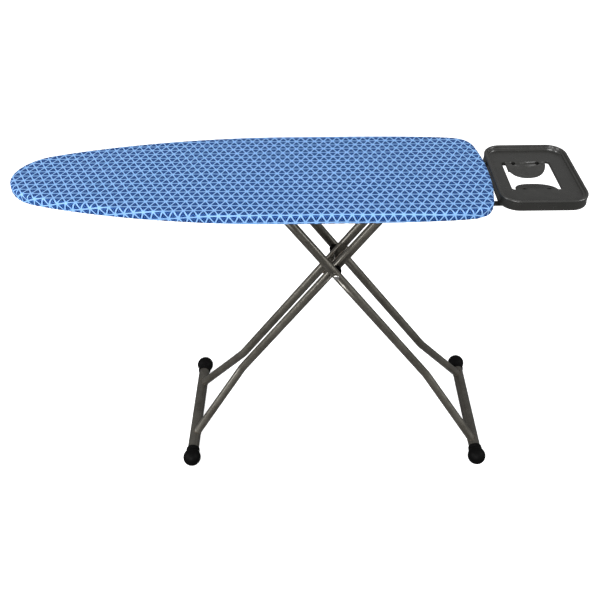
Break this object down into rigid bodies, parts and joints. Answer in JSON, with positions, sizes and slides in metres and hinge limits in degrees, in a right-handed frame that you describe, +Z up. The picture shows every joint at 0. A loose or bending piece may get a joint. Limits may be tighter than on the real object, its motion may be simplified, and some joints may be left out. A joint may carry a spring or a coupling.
{
  "type": "ironing board",
  "caption": "Folding ironing board on scissor legs, with a padded cloth-covered top, a height rack and an iron rest tray at its tail end.",
  "frame": {"origin": "on the floor, under the middle of the whole object's box", "axes": "+X along the board from the nose to the iron rest, +Y across the board towards its rear edge, +Z up"},
  "size_m": [1.42, 0.4536, 0.914],
  "materials": {
    "cotton_cover": "woven cotton, printed with a blue triangle lattice, slight sheen",
    "foam": "soft open-cell foam",
    "zinc_steel": "zinc-plated steel, satin",
    "dark_paint": "dark grey-brown metallic powder coat, semi-gloss",
    "tray_plastic": "dark grey moulded plastic, semi-gloss",
    "black_plastic": "black moulded plastic, satin"
  },
  "bodies": {
    "board": {"ironing_cover": "cotton_cover", "foam_pad": "foam", "mesh_top": "zinc_steel", "rim_frame": "zinc_steel", "cross_strip_nose": "zinc_steel", "cross_strip_middle": "zinc_steel", "cross_strip_tail": "zinc_steel", "slide_rail_front": "dark_paint", "slide_rail_rear": "dark_paint", "hinge_rod": "zinc_steel", "hinge_nut_front": "zinc_steel", "hinge_nut_rear": "zinc_steel", "rack_bracket": "zinc_steel", "rack_pin": "zinc_steel", "rack_spring": "zinc_steel", "iron_rest_arm_front": "dark_paint", "iron_rest_arm_rear": "dark_paint", "iron_rest_tray": "tray_plastic", "tray_screw_1": "zinc_steel", "tray_screw_2": "zinc_steel", "tray_screw_3": "zinc_steel", "tray_screw_4": "zinc_steel"},
    "height_rack": {"height_rack": "zinc_steel", "release_rod": "zinc_steel", "release_grip": "black_plastic"},
    "inner_leg": {"inner_leg_tube_front": "dark_paint", "inner_leg_tube_rear": "dark_paint", "inner_foot_bar": "dark_paint", "inner_foot_cap_front": "black_plastic", "inner_foot_cap_rear": "black_plastic", "inner_tube_plug_front": "black_plastic", "inner_tube_plug_rear": "black_plastic", "cross_bridge": "dark_paint", "hinge_sleeve_front": "black_plastic", "hinge_sleeve_middle": "black_plastic", "hinge_sleeve_rear": "black_plastic"},
    "outer_leg": {"outer_leg_tube_front": "dark_paint", "outer_leg_tube_rear": "dark_paint", "outer_foot_bar": "dark_paint", "outer_foot_cap_front": "black_plastic", "outer_foot_cap_rear": "black_plastic", "outer_tube_plug_front": "black_plastic", "outer_tube_plug_rear": "black_plastic", "slide_axle": "zinc_steel", "slide_washer_front": "black_plastic", "slide_washer_rear": "black_plastic", "slide_nut_front": "zinc_steel", "slide_nut_rear": "zinc_steel", "cross_spacer_front": "black_plastic", "cross_spacer_rear": "black_plastic", "cross_pivot_rod": "zinc_steel"}
  },
  "joints": [
    {"name": "leg_fold", "type": "hinge", "parent": "board", "child": "inner_leg", "pos_m": [0.27352, 0, 0.864], "axis": [0, 1, 0], "range_deg": [0, 51]},
    {"name": "cross_pivot", "type": "hinge", "parent": "inner_leg", "child": "outer_leg", "pos_m": [0.1113, 0, 0.6385], "axis": [0, 1, 0], "range_deg": [-102, 0]},
    {"name": "rack_release", "type": "hinge", "parent": "board", "child": "height_rack", "pos_m": [0.1613, 0, 0.88], "axis": [0, 1, 0], "range_deg": [0, 1.6], "stiffness_Nm_per_rad": 4, "springref_deg": -8.59}
  ],
  "couplings": [
    {"joint": "cross_pivot", "follows": "leg_fold", "ratio": -2}
  ]
}
